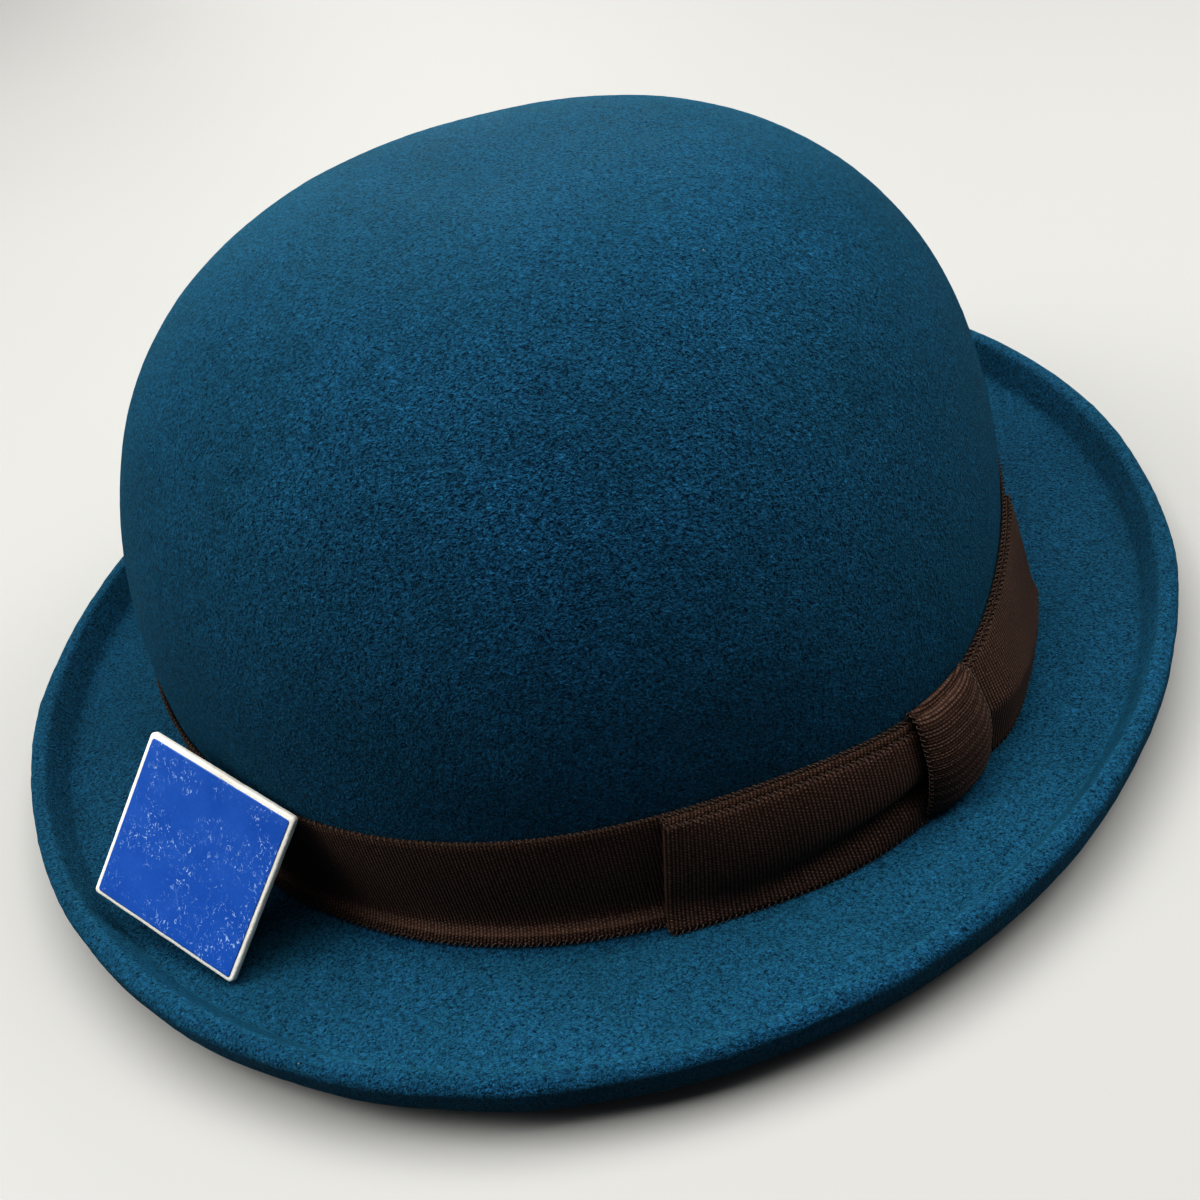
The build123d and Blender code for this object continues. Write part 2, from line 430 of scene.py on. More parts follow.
def add_selvedges(name, middle):
    """The edge threads along the first and last rows of a ribbon's middle surface."""
    coarse = middle[:, ::3]
    normal = grid_normals(coarse, True)
    made = []
    for row, inner, label in ((0, 1, "top"), (-1, -2, "foot")):
        outward = coarse[row] - coarse[inner]
        outward /= np.linalg.norm(outward, axis=-1, keepdims=True)
        edge = coarse[row] + outward * 0.05 + normal[row] * ribbon_thickness * 0.4
        made.append(selvedge(f"{name}_selvedge_{label}", edge, outward, normal[row]))
    return made


def loop_path(steps):
    """The bow's ribbon as a closed path seen from above: the angle from the knot, and how much it
    belongs to the outer layer. It runs in to one fold, out over the knot and round the other."""
    reach = bow_reach * wall_radius
    run = reach - bow_fold
    half_turn = pi * bow_fold
    total = 4 * run + 2 * half_turn
    along = np.arange(steps) * total / steps
    knots = np.cumsum((0, run, half_turn, 2 * run, half_turn, run))
    near_turn = (along - knots[1]) / half_turn * pi
    far_turn = (along - knots[3]) / half_turn * pi
    choices = [along < knots[1], along < knots[2], along < knots[3], along < knots[4]]
    place = [
        -along,
        -run - bow_fold * np.sin(near_turn),
        along - knots[2] - run,
        run + bow_fold * np.sin(far_turn),
    ]
    layer = [0 * along, (1 - np.cos(near_turn)) / 2, 1 + 0 * along, (1 + np.cos(far_turn)) / 2]
    place = np.select(choices, place, knots[5] - along)
    layer = np.select(choices, layer, 0 * along)
    return along, total, place / wall_radius, layer


def near_wing(share, across):
    """How far the wing on the front side of the knot stands off, from the knot (0) to its fold."""
    belly = np.sin(pi * np.clip(across, 0, 1)) ** 0.8 * (1.3 + 0.9 * smooth(share, 0.02, 0.3))
    belly = belly * (1 - 0.75 * smooth(share, 0.75, 1.0))
    middle = 0.58 + 0.30 * share
    fading = 1 - smooth(share, 0.25, 0.85)
    valley = -2.0 * np.exp(-(((across - middle) / 0.10) ** 2)) * fading
    ridge = 0.9 * np.exp(-(((across - middle - 0.2) / 0.11) ** 2)) * fading
    return 1.9 + 0.5 * across + belly + valley + ridge


def far_wing(share, across):
    """The same for the wing on the back side. Its upper part slopes out to a sharp ridge, which
    reaches the ribbon's foot at the fold, and the part below the ridge turns under."""
    ridge = 0.42 + 0.58 * smooth(share, 0.05, 1.0)
    slope = np.minimum(across / ridge, 1)
    under = np.maximum(across - ridge, 0)
    return 1.6 + 6.1 * slope * smooth(share, -0.1, 0.35) - 2.0 * under


def make_bow():
    total = loop_path(8)[1]
    ribs = round(total / rib_pitch)
    along, total, turn, layer = loop_path(ribs * rib_steps)
    v = np.linspace(0, ribbon_width, 25)
    across = (v / ribbon_width)[:, None]
    share = np.abs(turn) / bow_reach
    far = turn > 0
    waist = 1 - smooth(share, 0.12, 0.3)
    sprung = np.where(far, 4.0 * across, 0.25) * smooth(share, 0.45, 1.0)
    inner_off = 1.0 + 0.3 * waist + sprung
    outer_off = np.where(far, far_wing(share, across), near_wing(share, across))
    pinched = 1 - smooth(share, 0.1, 0.5)
    outer_top = np.where(far, 0.3 + 0.7 * pinched, 1.6 + 0.6 * pinched)
    outer_foot = np.where(far, 27.6, 27.4) - 0.6 * pinched
    inner_radius, inner_height = hugging(0.2 + v[:, None] * 0.985, inner_off)
    outer_down = outer_top + (outer_foot - outer_top) * across
    outer_radius, outer_height = standing_off(outer_down, outer_off, np.where(far, 0.15, 1.0))
    blend = smooth(layer, 0, 1)
    radius = inner_radius * (1 - layer) + outer_radius * layer
    height = inner_height * (1 - blend) + outer_height * blend
    slant = np.where(far, 0.010, -0.035) * (across - 0.5) * smooth(share, 0.6, 1.0)
    middle = ring(radius, bow_middle + turn + slant, height)
    crease_lines = 0.12 * lumps(middle, 7.0, 4.0)
    middle = middle + grid_normals(middle, True) * (crease_lines * layer)[..., None]
    u = np.append(along, total)
    relief = np.broadcast_to(rib_relief(along), middle.shape[:2])
    bow = add_sheet("bow_loops", middle, ribbon_thickness, u, v, relief, back_rows=13)
    return bow, add_selvedges("bow", middle)


def knot_path(across):
    """The knot's closed path for each row across it: how far it stands off the crown, and height."""
    edge = np.abs(across) ** 3
    behind, top, foot = 0.95, ribbon_top + 0.5, foot_centre[1] - 4.7
    front_top, front_foot = 4.3 - 1.0 * edge, 7.4 - 1.9 * edge
    belly = 7.2 - 1.6 * edge
    corners = [
        (behind, foot + 2.5),
        (behind, top - 0.8),
        (2.0, top),
        (front_top, top - 1.6),
        (belly, (top + foot) / 2 + 2.0),
        (front_foot, foot + 3.2),
        (front_foot - 2.6, foot + 0.2),
        (behind + 0.6, foot + 1.2),
    ]
    return np.array([np.broadcast_arrays(off, height) for off, height in corners], float)


def closed_spline(points, steps):
    """A smooth closed line through points, by Catmull-Rom."""
    count = len(points)
    share = np.arange(steps) * count / steps
    first = share.astype(int)
    part = (share - first)[:, None]
    p0, p1, p2, p3 = (points[(first + shift) % count] for shift in (-1, 0, 1, 2))
    return 0.5 * (
        2 * p1
        + (p2 - p0) * part
        + (2 * p0 - 5 * p1 + 4 * p2 - p3) * part**2
        + (3 * p1 - p0 - 3 * p2 + p3) * part**3
    )


def even_line(points, steps):
    """The same closed line with its points at even spacing."""
    lengths = path_lengths(points, True)
    closed = np.concatenate((points, points[:1]))
    along = np.arange(steps) * lengths[-1] / steps
    return np.stack([np.interp(along, lengths, part) for part in closed.T], axis=-1)


def make_knot():
    rows = np.linspace(1, -1, 21)
    columns = knot_ribs * rib_steps
    lines = []
    for across in rows:
        line = even_line(closed_spline(knot_path(across), 400), columns)
        off, height = line[:, 0], line[:, 1]
        share = np.clip((ribbon_top - height) / 25, 0, 1)
        half_width = 7.4 + 1.9 * share
        angle = bow_middle + across * half_width / wall_radius + 0.012 * (share - 0.3)
        lines.append(ring(crown_radius(height) + off, angle, height))
    middle = np.array(lines)
    length = path_lengths(middle[len(rows) // 2], True)[-1]
    u = np.arange(columns + 1) * length / columns
    v = np.linspace(0, knot_width, len(rows))
    relief = rib_depth * np.sqrt(np.abs(np.sin(pi * np.arange(columns) / rib_steps)))
    relief = np.broadcast_to(relief, middle.shape[:2])
    knot = add_sheet("bow_knot_wrap", middle, ribbon_thickness, u, v, relief, back_rows=11)
    return knot, add_selvedges("knot", middle), length


# ---------------------------------------------------------------------------------------------
# Inside


def make_sweatband():
    angle = turn_steps(420)
    v = np.linspace(0, sweat_top - sweat_foot, 22)
    height = (sweat_foot + v)[:, None]
    wave = 0.35 * np.sin(5 * angle + 0.4) + 0.2 * np.sin(9 * angle)
    free = smooth(height, 20, sweat_top)
    off = sweat_inset + sweat_thickness / 2
    radius = crown_radius(np.maximum(height, bulge_z), off, off) - free * (0.35 + 0.5 * wave)
    middle = ring(radius, angle, height + free * 0.25 * wave)
    grain = 0.04 * lumps(middle, 3.0, 6.0)
    u = np.linspace(0, 2 * pi * wall_radius, len(angle) + 1)
    return add_sheet("sweatband_leather", middle, sweat_thickness, u, v, grain, back_rows=22)


def make_reed():
    angle = turn_steps(900)
    radius = wall_radius - sweat_inset - sweat_thickness / 2
    line = ring(radius, angle, sweat_foot - reed_radius - 0.1 + 0 * angle)
    return add_tube("sweatband_piping", line, reed_radius, sides=12)


def stitch(middle, along, up, length):
    """One stitch: a short plump thread that dives into the leather at both ends."""
    share = np.linspace(-1, 1, 9)
    rise = 0.24 * (1 - share**2) - 0.10
    line = middle + along * share[:, None] * length / 2
    line = line - up * rise[:, None]
    around = turn_steps(6)[:, None, None]
    thick = (0.20 * (1 - 0.5 * share**4))[:, None]
    sideways = np.array((0.0, 0.0, 1.0))
    return line + thick * (np.cos(around) * sideways + np.sin(around) * up)


def make_stitches():
    face = wall_radius - sweat_inset - sweat_thickness
    count = round(way_round(face) / stitch_pitch)
    points, faces = [], []
    for angle in turn_steps(count):
        middle = ring(face - 0.05, angle, thread_rise)
        ahead = ring(face, angle + 0.01, thread_rise) - ring(face, angle - 0.01, thread_rise)
        ahead /= np.linalg.norm(ahead)
        outward = np.cross(ahead, (0.0, 0.0, 1.0))
        made = stitch(middle, ahead, outward, stitch_pitch * stitch_share)
        sides, rings = made.shape[:2]
        start = len(points)
        points += made.reshape(-1, 3).tolist()
        for side in range(sides):
            for step in range(rings - 1):
                a = start + side * rings + step
                b = start + (side + 1) % sides * rings + step
                faces.append((a, b, b + 1, a + 1))
        faces.append([start + side * rings for side in range(sides)][::-1])
        faces.append([start + side * rings + rings - 1 for side in range(sides)])
    return add_mesh("sweatband_stitches", points, faces)


def make_lining_side():
    start, end = crown_angle(lining_foot, lining_drop), tip_angle - 0.4
    angle = turn_steps(540)
    place = np.linspace(start, end, 40)[:, None]
    inset = lining_inset + lining / 2
    radius, height = crown_curve(place, inset, lining_drop + lining / 2)
    share = (place - start) / (end - start)
    drift = 0.5 * np.sin(3 * angle + 1) + 0.3 * np.sin(7 * angle)
    pleats = np.abs(np.sin(27 * angle + 1.6 * drift * (1 - share))) ** 1.5
    depth = 0.25 + 1.1 * smooth(share, 0.35, 1.0) * (1 - smooth(share, 0.97, 1.0))
    middle = ring(radius - depth * pleats, angle, height - 0.3 * depth * pleats)
    v = path_lengths(np.stack((radius[:, 0], height[:, 0]), axis=-1), False)
    u = np.linspace(0, 2 * pi * wall_radius, len(angle) + 1)
    crumple = 0.15 * lumps(middle, 9.0, 1.0)
    return add_sheet("lining_side_satin", middle[::-1], lining, u, v, crumple, back_rows=20), v[-1]


def make_lining_tip():
    angle = turn_steps(360)
    place = np.linspace(tip_angle + 0.4, pole_angle, 46)[:, None]
    inset = lining_inset + lining / 2
    radius, height = crown_curve(place, inset, lining_drop + lining / 2)
    pucker = (1 - smooth(place, tip_angle, tip_angle + 9)) * np.abs(np.sin(45 * angle)) ** 1.5
    middle = ring(radius - 0.5 * pucker, angle, height - 0.5 * pucker - 0.5 * smooth(place, 60, 90))
    middle = middle + np.array((0, 0, 1.0)) * (0.25 * lumps(middle, 16, 2.0))[..., None]
    side = grid_normals(middle[::-1], True)[::-1]
    points = np.concatenate((middle[::-1] + side[::-1] * lining / 2, middle - side * lining / 2))
    v = path_lengths(np.stack((radius[:, 0], height[:, 0]), axis=-1), False)
    u = np.linspace(0, 2 * pi * radius[0, 0], len(angle) + 1)
    rows = np.concatenate((v[::-1], v))
    return add_grid("lining_tip_satin", points, u, rows, caps=((0, 1), (-1, -1)))


def make_label(name, size, middle, foot):
    """A woven label on the sweatband's face, with its two ends folded under."""
    width, height = size
    face = wall_radius - sweat_inset - sweat_thickness - 1.6
    columns, rows = 41, 25
    along = np.linspace(-width / 2, width / 2, columns)
    up = np.linspace(0, height, rows)
    tucked = 0.5 * smooth(np.abs(along), width / 2 - 1.6, width / 2)
    bowed = 0.35 * np.sin(pi * up / height)[:, None]
    angle = radians(middle) + along / face
    radius = crown_radius(np.maximum(foot + up, bulge_z))[:, None] - wall_radius + face
    radius = radius + tucked - bowed
    inner = ring(radius, angle, (foot + up)[:, None])
    outer = ring(radius + label_thickness, angle, (foot + up)[:, None])
    points = np.concatenate((inner, outer[::-1]))
    u = np.append(along + width / 2, width)
    v = np.concatenate((up, up[::-1]))
    piece = add_grid(name, points, u, v, wrap_rows=True, wrap_columns=False)
    close_ends(piece, rows, columns)
    return piece


def close_ends(piece, rows, columns):
    """Closes the two open ends of a strip made of an inner and an outer grid of points."""
    mesh = piece.data
    points = [vertex.co[:] for vertex in mesh.vertices]
    faces = [tuple(face.vertices) for face in mesh.polygons]
    last = 2 * rows - 1
    for column, step in ((0, 1), (columns - 1, -1)):
        for row in range(rows - 1):
            a, b = row * columns + column, (row + 1) * columns + column
            c, d = (last - row - 1) * columns + column, (last - row) * columns + column
            faces.append((a, d, c, b)[::step])
    uv = np.zeros(len(mesh.loops) * 2, np.float32)
    mesh.uv_layers["Weave"].data.foreach_get("uv", uv)
    mesh.clear_geometry()
    mesh.from_pydata(points, [], faces)
    layer = mesh.uv_layers.get("Weave") or mesh.uv_layers.new(name="Weave")
    whole = np.zeros(len(mesh.loops) * 2, np.float32)
    whole[: len(uv)] = uv
    layer.data.foreach_set("uv", whole)
    mesh.polygons.foreach_set("use_smooth", [True] * len(mesh.polygons))


# ---------------------------------------------------------------------------------------------
# Swing tag


def tag_axes():
    """The tag's edge, upward and face directions."""
    face = np.array((
        sin(tag_heading) * cos(tag_lean),
        -cos(tag_heading) * cos(tag_lean),
        sin(tag_lean),
    ))
    level = np.array((cos(tag_heading), sin(tag_heading), 0))
    upward = np.cross(face, level)
    edge = level * cos(tag_roll) + upward * sin(tag_roll)
    return edge, np.cross(face, edge), face


def square_outline(half, corner, steps=7):
    """A square's outline with rounded corners, counter-clockwise round its middle."""
    outline = []
    for quarter in range(4):
        arc = quarter * pi / 2 + np.linspace(0, pi / 2, steps)
        towards = quarter * pi / 2 + pi / 4
        middle = (half - corner) * 2**0.5 * np.array((cos(towards), sin(towards)))
        outline.append(middle + corner * np.stack((np.cos(arc), np.sin(arc)), axis=-1))
    outline = np.concatenate(outline)
    return fill_gaps(np.concatenate((outline, outline[:1])), 1.6)[:-1]


def make_plate(name, half, corner, low, high, bevel, wear):
    """A flat square of card or print between two heights over the tag's back, with soft edges."""
    edge, upward, face = tag_axes()
    middle = tag_foot + upward * tag_side / 2
    outline = square_outline(half, corner)
    steps = [(half * 0.5, high), (2.0, high), (bevel + 0.15, high), (bevel * 0.3, high - bevel * 0.3)]
    steps += [(0, high - bevel), (0, low + bevel), (bevel * 0.3, low + bevel * 0.3)]
    steps += [(bevel + 0.15, low), (2.0, low), (half * 0.5, low)]
    rings = []
    for inset, height in steps:
        scaled = outline * (1 - inset / half)
        rings.append(middle + scaled[:, :1] * edge + scaled[:, 1:] * upward + height * face)
    points = np.array(rings)
    outward = points[4] - points[0]
    outward = outward / np.linalg.norm(outward, axis=-1, keepdims=True)
    at_rim = np.array([0.0, 0.0, 0.3, 0.8, 1.0, 1.0, 0.8, 0.3, 0.0, 0.0])[:, None]
    nicked = np.minimum(lumps(points, 1.3, 8.0), 0) * wear + 0.5 * wear * lumps(points, 4.0, 1.0)
    points = points + outward * (nicked * at_rim)[..., None]
    around = path_lengths(points[4], True)
    v = np.array([height - inset for inset, height in steps])
    return add_grid(name, points, around, v, caps=((0, 1), (-1, -1)))


# ---------------------------------------------------------------------------------------------
# Materials


def add_node(tree, kind, inputs=None, **settings):
    """Adds a node, sets its options, and gives each named input a value or a link."""
    node = tree.nodes.new("ShaderNode" + kind)
    for key, value in settings.items():
        setattr(node, key, value)
    for key, value in (inputs or {}).items():
        if isinstance(value, bpy.types.NodeSocket):
            tree.links.new(value, node.inputs[key])
        else:
            node.inputs[key].default_value = value
    return node


def compute(tree, operation, first, second=0.0, third=0.0):
    """A maths node's result."""
    inputs = {0: first, 1: second, 2: third}
    return add_node(tree, "Math", inputs, operation=operation).outputs[0]


def pattern(tree, place, scale, detail=2.0, roughness=0.5, distortion=0.0):
    """Noise from 0 to 1."""
    inputs = {
        "Vector": place,
        "Scale": scale,
        "Detail": detail,
        "Roughness": roughness,
        "Distortion": distortion,
    }
    return add_node(tree, "TexNoise", inputs).outputs[0]


def remap(tree, value, low, high, to_low=0.0, to_high=1.0):
    """Spreads a range of values over another, and holds it inside."""
    inputs = {0: value, 1: low, 2: high, 3: to_low, 4: to_high}
    return add_node(tree, "MapRange", inputs).outputs[0]


def blend_colours(tree, share, first, second):
    """Two colours mixed by a share."""
    node = add_node(tree, "Mix", {0: share}, data_type="RGBA")
    for slot, colour in ((6, first), (7, second)):
        if isinstance(colour, bpy.types.NodeSocket):
            tree.links.new(colour, node.inputs[slot])
        else:
            node.inputs[slot].default_value = (*colour, 1)
    return node.outputs[2]


def start_material(name):
    """A new material's tree, its place in the object's own metres, and its weave map."""
    material = bpy.data.materials.new(name)
    material.use_nodes = True
    tree = material.node_tree
    tree.nodes.clear()
    place = add_node(tree, "TexCoord").outputs["Object"]
    weave = add_node(tree, "UVMap", uv_map="Weave").outputs[0]
    return material, tree, place, weave


def finish_material(tree, colour, roughness, height, depth, strength=1.0, **fixed):
    """Joins colour, roughness and relief to the shader. Fixed values go on its own sockets."""
    bump = add_node(tree, "Bump", {"Height": height, "Distance": depth, "Strength": strength})
    shader = add_node(tree, "BsdfPrincipled", {
        "Base Color": colour,
        "Roughness": roughness,
        "Normal": bump.outputs[0],
    })
    for key, value in fixed.items():
        shader.inputs[key.replace("_", " ")].default_value = value
    output = add_node(tree, "OutputMaterial")
    tree.links.new(shader.outputs[0], output.inputs[0])


def curled_fibres(tree, place, scale, thickness, seed):
    """Fine curly lines, as of single fibres that lie on felt, from 0 between them to 1 on them."""
    moved = add_node(tree, "VectorMath", {0: place, 1: (seed, 2 * seed, -seed)}).outputs[0]
    field = pattern(tree, moved, scale, 1.5, 0.5, 1.4)
    away = compute(tree, "ABSOLUTE", compute(tree, "SUBTRACT", field, 0.5))
    line = remap(tree, away, 0.0, thickness, 1.0, 0.0)
    broken = remap(tree, pattern(tree, moved, scale * 1.3, 1, 0.5), 0.40, 0.58)
    return compute(tree, "MULTIPLY", line, broken)


def felt_material():
    material, tree, place, _ = start_material("wool_felt")
    coarse = curled_fibres(tree, place, 850, 0.085, 0.3)
    fine = curled_fibres(tree, place, 1450, 0.13, 1.7)
    fibres = compute(tree, "MAXIMUM", compute(tree, "MULTIPLY", coarse, 0.8), fine)
    nap = remap(tree, pattern(tree, place, 1700, 1.5, 0.6, 0.8), 0.36, 0.64)
    clumps = pattern(tree, place, 260, 4, 0.65, 1.0)
    patches = pattern(tree, place, 26, 3, 0.55)
    # The fibre lines are coloured lighter, a painted highlight, and the gaps between them darker,
    # painted shade. The nap, clumps and patches vary at random.
    tone = compute(tree, "MULTIPLY_ADD", nap, 0.50, compute(tree, "MULTIPLY", fibres, 0.70))
    colour = blend_colours(tree, tone, (0.0042, 0.014, 0.028), (0.0290, 0.155, 0.285))
    shade = remap(tree, clumps, 0.3, 0.7, 0.84, 1.16)
    shade = compute(tree, "MULTIPLY", shade, remap(tree, patches, 0.3, 0.7, 0.86, 1.12))
    shaded = add_node(tree, "VectorMath", {0: colour, 3: shade}, operation="SCALE").outputs[0]
    greener = remap(tree, pattern(tree, place, 34, 2, 0.5), 0.45, 0.75, 0.0, 0.30)
    colour = blend_colours(tree, greener, shaded, (0.011, 0.060, 0.092))
    specks = add_node(tree, "TexVoronoi", {"Vector": place, "Scale": 62.0}).outputs["Distance"]
    lint = remap(tree, specks, 0.010, 0.018, 0.7, 0.0)
    colour = blend_colours(tree, lint, colour, (0.42, 0.44, 0.42))
    height = compute(tree, "MULTIPLY_ADD", tone, 0.8, compute(tree, "MULTIPLY", clumps, 0.6))
    finish_material(
        tree, colour, remap(tree, clumps, 0.3, 0.7, 0.74, 0.92), height, 0.0009, 0.9,
        Specular_IOR_Level=0.22,
        Specular_Tint=(0.16, 0.52, 0.80, 1.0),
        Sheen_Weight=0.36,
        Sheen_Roughness=0.30,
        Sheen_Tint=(0.10, 0.46, 0.60, 1.0),
    )
    return material


def grosgrain_material(name, dark, light):
    """Ribbed ribbon: fine warp threads run along it and dive under every other rib. Its colour follows
    the relief: the rib crests and thread middles are a painted highlight, the valleys between the ribs
    are painted shade, and the uneven and worn tones vary at random.
    """
    material, tree, place, weave = start_material(name)
    split = add_node(tree, "SeparateXYZ", {0: weave})
    along, across = split.outputs[0], split.outputs[1]
    rib_turn = pi / (rib_pitch * MM)
    thread_width = 0.00036
    rib = compute(tree, "SINE", compute(tree, "MULTIPLY", along, rib_turn))
    rib = compute(tree, "ABSOLUTE", rib)
    thread = compute(tree, "DIVIDE", across, thread_width)
    odd = compute(tree, "MODULO", compute(tree, "FLOOR", thread), 2.0)
    turn = compute(tree, "MULTIPLY_ADD", along, rib_turn, compute(tree, "MULTIPLY", odd, pi))
    over = compute(tree, "MULTIPLY_ADD", compute(tree, "SINE", turn), 0.5, 0.5)
    round_thread = compute(tree, "SINE", compute(tree, "MULTIPLY", compute(tree, "FRACT", thread), pi))
    stitch_relief_and_painted_light = compute(tree, "MULTIPLY_ADD", compute(tree, "MULTIPLY", over, round_thread), 0.6, 0.4)
    # The ribs' relief also sets the colour: the crests and thread middles are lighter, a painted
    # highlight, and the valleys darker, painted shade.
    relief_and_painted_light = compute(tree, "MULTIPLY", compute(tree, "POWER", rib, 1.5), stitch_relief_and_painted_light)
    stretched = add_node(tree, "Mapping", {0: weave, 3: (900.0, 2600.0, 1.0)}).outputs[0]
    broken = pattern(tree, stretched, 1.0, 2, 0.6)
    uneven = remap(tree, broken, 0.32, 0.68, 0.25, 1.45)
    worn = remap(tree, pattern(tree, place, 60, 2, 0.5), 0.3, 0.7, 0.75, 1.1)
    tone = compute(tree, "MULTIPLY", relief_and_painted_light, compute(tree, "MULTIPLY", uneven, worn))
    colour = blend_colours(tree, tone, dark, light)
    finish_material(
        tree, colour, remap(tree, tone, 0.0, 1.0, 0.66, 0.42), tone, 0.00016, 0.9,
        Specular_IOR_Level=0.28,
        Specular_Tint=(1.0, 0.74, 0.56, 1.0),
        Sheen_Weight=0.10,
        Sheen_Roughness=0.4,
        Sheen_Tint=(0.80, 0.52, 0.36, 1.0),
    )
    return material


def thread_material(name, dark, light, pitch):
    """Twisted thread or taped cord: slanting strands along a tube."""
    material, tree, place, weave = start_material(name)
    split = add_node(tree, "SeparateXYZ", {0: weave})
    slant = compute(tree, "ADD", split.outputs[0], split.outputs[1])
    strand = compute(tree, "SINE", compute(tree, "MULTIPLY", slant, 2 * pi / pitch))
    strand = compute(tree, "MULTIPLY_ADD", strand, 0.5, 0.5)
    fuzz = pattern(tree, place, 2600, 3, 0.6)
    tone = compute(tree, "MULTIPLY", strand, remap(tree, fuzz, 0.25, 0.75, 0.5, 1.1))
    colour = blend_colours(tree, tone, dark, light)
    finish_material(
        tree, colour, remap(tree, tone, 0, 1, 0.7, 0.5), strand, 0.00008, 0.8,
        Specular_IOR_Level=0.35,
    )
    return material


def leather_material():
    material, tree, place, _ = start_material("sweatband_leather")
    cells = add_node(tree, "TexVoronoi", {"Vector": place, "Scale": 1150.0}).outputs["Distance"]
    pores = add_node(tree, "TexVoronoi", {"Vector": place, "Scale": 420.0}).outputs["Distance"]
    wrinkles = pattern(tree, place, 190, 4, 0.6, 1.2)
    handled = pattern(tree, place, 26, 3, 0.55)
    colour = blend_colours(tree, wrinkles, (0.018, 0.011, 0.0075), (0.050, 0.031, 0.020))
    worn = remap(tree, handled, 0.45, 0.75, 0.0, 0.55)
    colour = blend_colours(tree, worn, colour, (0.070, 0.046, 0.030))
    pitted = remap(tree, pores, 0.05, 0.16)
    grain = compute(tree, "MULTIPLY_ADD", cells, 0.6, compute(tree, "MULTIPLY", wrinkles, 0.5))
    height = compute(tree, "MULTIPLY", grain, pitted)
    finish_material(
        tree, colour, remap(tree, handled, 0.3, 0.7, 0.50, 0.34), height, 0.00014, 0.7,
        Specular_IOR_Level=0.5,
    )
    return material


def satin_material():
    material, tree, place, weave = start_material("lining_satin")
    split = add_node(tree, "SeparateXYZ", {0: weave})
    slant = compute(tree, "MULTIPLY_ADD", split.outputs[1], 3.0, split.outputs[0])
    float_pitch = 0.0011
    floats = compute(tree, "SINE", compute(tree, "MULTIPLY", slant, 2 * pi / float_pitch))
    floats = compute(tree, "MULTIPLY_ADD", floats, 0.5, 0.5)
    slubs = pattern(tree, place, 130, 4, 0.6, 0.5)
    creases = pattern(tree, place, 40, 3, 0.5)
    tone = compute(tree, "MULTIPLY_ADD", floats, 0.25, compute(tree, "MULTIPLY", slubs, 0.75))
    colour = blend_colours(tree, tone, (0.011, 0.011, 0.014), (0.042, 0.043, 0.052))
    height = compute(tree, "MULTIPLY_ADD", slubs, 0.8, compute(tree, "MULTIPLY", floats, 0.2))
    finish_material(
        tree, colour, remap(tree, creases, 0.3, 0.7, 0.26, 0.40), height, 0.0002, 0.6,
        Specular_IOR_Level=0.6,
        Sheen_Weight=0.15,
        Sheen_Roughness=0.25,
    )
    return material


def label_material(name, ground, stripe, width, height):
    """A woven label: fine plain weave with a coloured border and no lettering."""
    material, tree, place, weave = start_material(name)
    split = add_node(tree, "SeparateXYZ", {0: weave})
    along, up = split.outputs[0], split.outputs[1]
    warp_pitch, weft_pitch, border_inset = 0.00045, 0.00036, 0.0017
    warp = compute(tree, "SINE", compute(tree, "MULTIPLY", along, 2 * pi / warp_pitch))
    weft = compute(tree, "SINE", compute(tree, "MULTIPLY", up, 2 * pi / weft_pitch))
    threads = compute(tree, "MULTIPLY_ADD", compute(tree, "MULTIPLY", warp, weft), 0.5, 0.5)
    from_side = compute(tree, "ABSOLUTE", compute(tree, "SUBTRACT", along, width / 2 * MM))
    from_end = compute(tree, "ABSOLUTE", compute(tree, "SUBTRACT", up, height / 2 * MM))
    in_side = compute(tree, "SUBTRACT", width / 2 * MM, from_side)
    in_end = compute(tree, "SUBTRACT", height / 2 * MM, from_end)
    inset = compute(tree, "MINIMUM", in_side, in_end)
    line = compute(tree, "ABSOLUTE", compute(tree, "SUBTRACT", inset, border_inset))
    border = remap(tree, line, 0.00030, 0.00042, 1.0, 0.0)
    colour = blend_colours(tree, remap(tree, threads, 0, 1, 0.0, 0.35), ground, (0.20, 0.18, 0.15))
    colour = blend_colours(tree, border, colour, stripe)
    grime = remap(tree, pattern(tree, place, 160, 4, 0.6), 0.5, 0.8, 0.0, 0.30)
    colour = blend_colours(tree, grime, colour, (0.16, 0.13, 0.10))
    finish_material(
        tree, colour, remap(tree, threads, 0, 1, 0.75, 0.6), threads, 0.00008, 0.8,
        Specular_IOR_Level=0.3,
        Sheen_Weight=0.1,
    )
    return material


def card_material():
    material, tree, place, _ = start_material("tag_board")
    pulp = pattern(tree, place, 900, 5, 0.65, 0.8)
    stain = pattern(tree, place, 120, 3, 0.6)
    colour = blend_colours(tree, pulp, (0.70, 0.67, 0.60), (0.92, 0.90, 0.84))
    dirt = remap(tree, stain, 0.52, 0.80, 0.0, 0.35)
    colour = blend_colours(tree, dirt, colour, (0.46, 0.40, 0.31))
    finish_material(
        tree, colour, remap(tree, pulp, 0.3, 0.7, 0.92, 0.78), pulp, 0.00015, 0.8,
        Specular_IOR_Level=0.2,
    )
    return material


